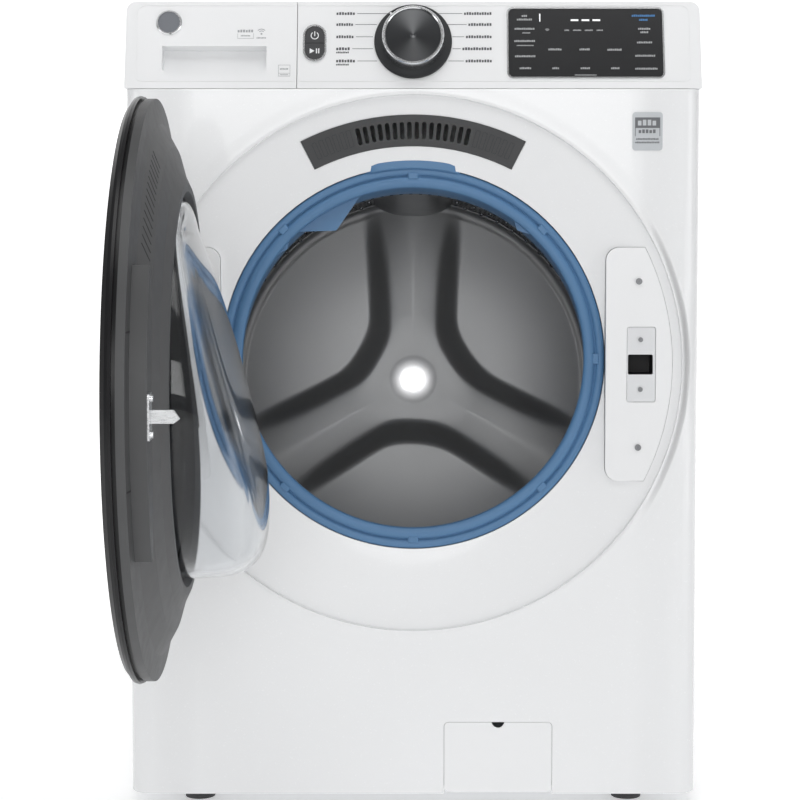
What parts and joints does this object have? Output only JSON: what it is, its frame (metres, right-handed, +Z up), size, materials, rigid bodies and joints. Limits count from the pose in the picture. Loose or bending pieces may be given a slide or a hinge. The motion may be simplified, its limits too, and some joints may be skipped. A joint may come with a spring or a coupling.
{
  "type": "front load washing machine",
  "caption": "White front load washer with an open round door, blue gasket, tilted steel drum, detergent drawer, cycle knob and dark display.",
  "frame": {"origin": "on the floor plane under the centre of the cabinet", "axes": "+X to the viewer's right, the front faces -Y, +Z up"},
  "size_m": [0.711, 1.397, 1.007],
  "materials": {
    "white_paint": "gloss enamel",
    "white_plastic": "semi-gloss moulding",
    "pale_plastic": "satin moulding",
    "zinc_sheet": "galvanised",
    "door_grey": "fine matt moulding",
    "grille_grey": "fine matt moulding",
    "black_gloss": "polished",
    "black_matte": "matt",
    "display_black": "polished smoked window",
    "bright_trim": "bright plated",
    "key_grey": "satin",
    "skirt_grey": "satin",
    "knob_face": "radially brushed, dark tinted",
    "badge_grey": "satin",
    "plaque_grey": "satin label",
    "clear_glass": "polished",
    "strike_steel": "plated",
    "screw_steel": "plated",
    "dark_metal": "black coated",
    "blue_rubber": "soft satin",
    "tub_plastic": "glass-filled moulding",
    "iron_weight": "as cast",
    "spring_steel": "plated wire",
    "drum_steel": "satin stainless",
    "drum_back_steel": "pressed stainless",
    "spider_alloy": "cast",
    "ring_plastic": "welded moulding",
    "lifter_plastic": "satin moulding",
    "bearing_steel": "ground",
    "pulley_alloy": "cast",
    "motor_case": "cast and painted",
    "belt_rubber": "ribbed",
    "pump_plastic": "moulded",
    "cap_plastic": "moulded",
    "foot_plastic": "moulded",
    "board_green": "lacquered",
    "insert_blue": "moulded"
  },
  "bodies": {
    "cabinet": {"cabinet_wrap": "white_paint", "top_cover": "white_paint", "front_panel": "white_paint", "base_pan": "zinc_sheet", "rear_panel": "zinc_sheet", "rear_access_cover": "zinc_sheet", "console_fascia": "white_plastic", "display_frame": "bright_trim", "display_glass": "display_black", "button_bezel": "bright_trim", "control_board": "board_green", "dispenser_housing": "pale_plastic", "plaque": "plaque_grey", "vent_grille": "grille_grey", "latch_plate": "white_plastic", "lock_plate": "pale_plastic", "door_lock": "black_matte", "hinge_cover": "white_plastic", "hinge_bracket": "dark_metal", "plate_screws": "screw_steel", "gasket": "blue_rubber", "hanging_springs": "spring_steel", "damper_cylinders": "foot_plastic", "drain_pump": "pump_plastic", "feet": "foot_plastic", "inlet_valves": "pale_plastic", "rear_ports": "black_matte"},
    "door": {"door_cover": "black_gloss", "door_bezel": "black_gloss", "door_ring": "door_grey", "door_glass": "clear_glass", "door_hinge_arm": "dark_metal", "door_strike": "strike_steel"},
    "drawer": {"drawer_front": "white_plastic", "badge_ring": "bright_trim", "badge_disc": "badge_grey", "drawer_tray": "pale_plastic", "siphon_insert": "insert_blue"},
    "knob": {"knob_skirt": "skirt_grey", "knob_ring": "bright_trim", "knob_cap": "knob_face"},
    "power_key": {"power_button": "key_grey"},
    "start_key": {"start_button": "key_grey"},
    "tub": {"tub_front": "tub_plastic", "tub_rear": "tub_plastic", "counterweights": "iron_weight", "damper_rods": "spring_steel", "bearings": "bearing_steel", "motor": "motor_case", "drive_belt": "belt_rubber"},
    "drum": {"drum_shell": "drum_steel", "drum_back": "drum_back_steel", "drum_spider": "spider_alloy", "balance_ring": "ring_plastic", "lifters": "lifter_plastic", "drum_pulley": "pulley_alloy"},
    "motor_rotor": {"motor_pulley": "pulley_alloy"},
    "filter": {"filter_cap": "cap_plastic"},
    "flap": {"service_flap": "white_plastic"},
    "bolt": {"lock_bolt": "strike_steel"}
  },
  "joints": [
    {"name": "door_hinge", "type": "hinge", "parent": "cabinet", "child": "door", "pos_m": [-0.288, -0.404, 0.557], "axis": [0, 0, -1], "range_deg": [-89, 21]},
    {"name": "drawer_slide", "type": "slide", "parent": "cabinet", "child": "drawer", "axis": [0, -1, 0], "range_m": [0, 0.25]},
    {"name": "knob_turn", "type": "hinge", "parent": "cabinet", "child": "knob", "pos_m": [0, -0.35838, 0.95596], "axis": [0, -0.9613, 0.2756], "continuous": true},
    {"name": "power_press", "type": "slide", "parent": "cabinet", "child": "power_key", "axis": [0, 0.9613, -0.2756], "range_m": [0, 0.0012], "stiffness_N_per_m": 600},
    {"name": "start_press", "type": "slide", "parent": "cabinet", "child": "start_key", "axis": [0, 0.9613, -0.2756], "range_m": [0, 0.0012], "stiffness_N_per_m": 600},
    {"name": "tub_bounce", "type": "slide", "parent": "cabinet", "child": "tub", "axis": [0, 0, 1], "range_m": [-0.01, 0.01], "stiffness_N_per_m": 9000, "springref_m": 0.0557, "deforming": ["gasket", "hanging_springs"]},
    {"name": "drum_spin", "type": "hinge", "parent": "tub", "child": "drum", "pos_m": [0, -0.355, 0.563], "axis": [0, 0.9903, -0.1392], "continuous": true},
    {"name": "motor_spin", "type": "hinge", "parent": "tub", "child": "motor_rotor", "pos_m": [0, -0.40677, 0.19462], "axis": [0, 0.9903, -0.1392], "continuous": true},
    {"name": "filter_turn", "type": "hinge", "parent": "cabinet", "child": "filter", "pos_m": [0.1065, -0.375, 0.068], "axis": [0, -1, 0], "range_deg": [0, 180]},
    {"name": "flap_hinge", "type": "hinge", "parent": "cabinet", "child": "flap", "pos_m": [0.1065, -0.368, 0.023], "axis": [1, 0, 0], "range_deg": [0, 90]},
    {"name": "bolt_slide", "type": "slide", "parent": "cabinet", "child": "bolt", "axis": [0, 0, 1], "range_m": [0, 0.0025]}
  ],
  "couplings": [
    {"joint": "motor_spin", "follows": "drum_spin", "ratio": 12}
  ]
}
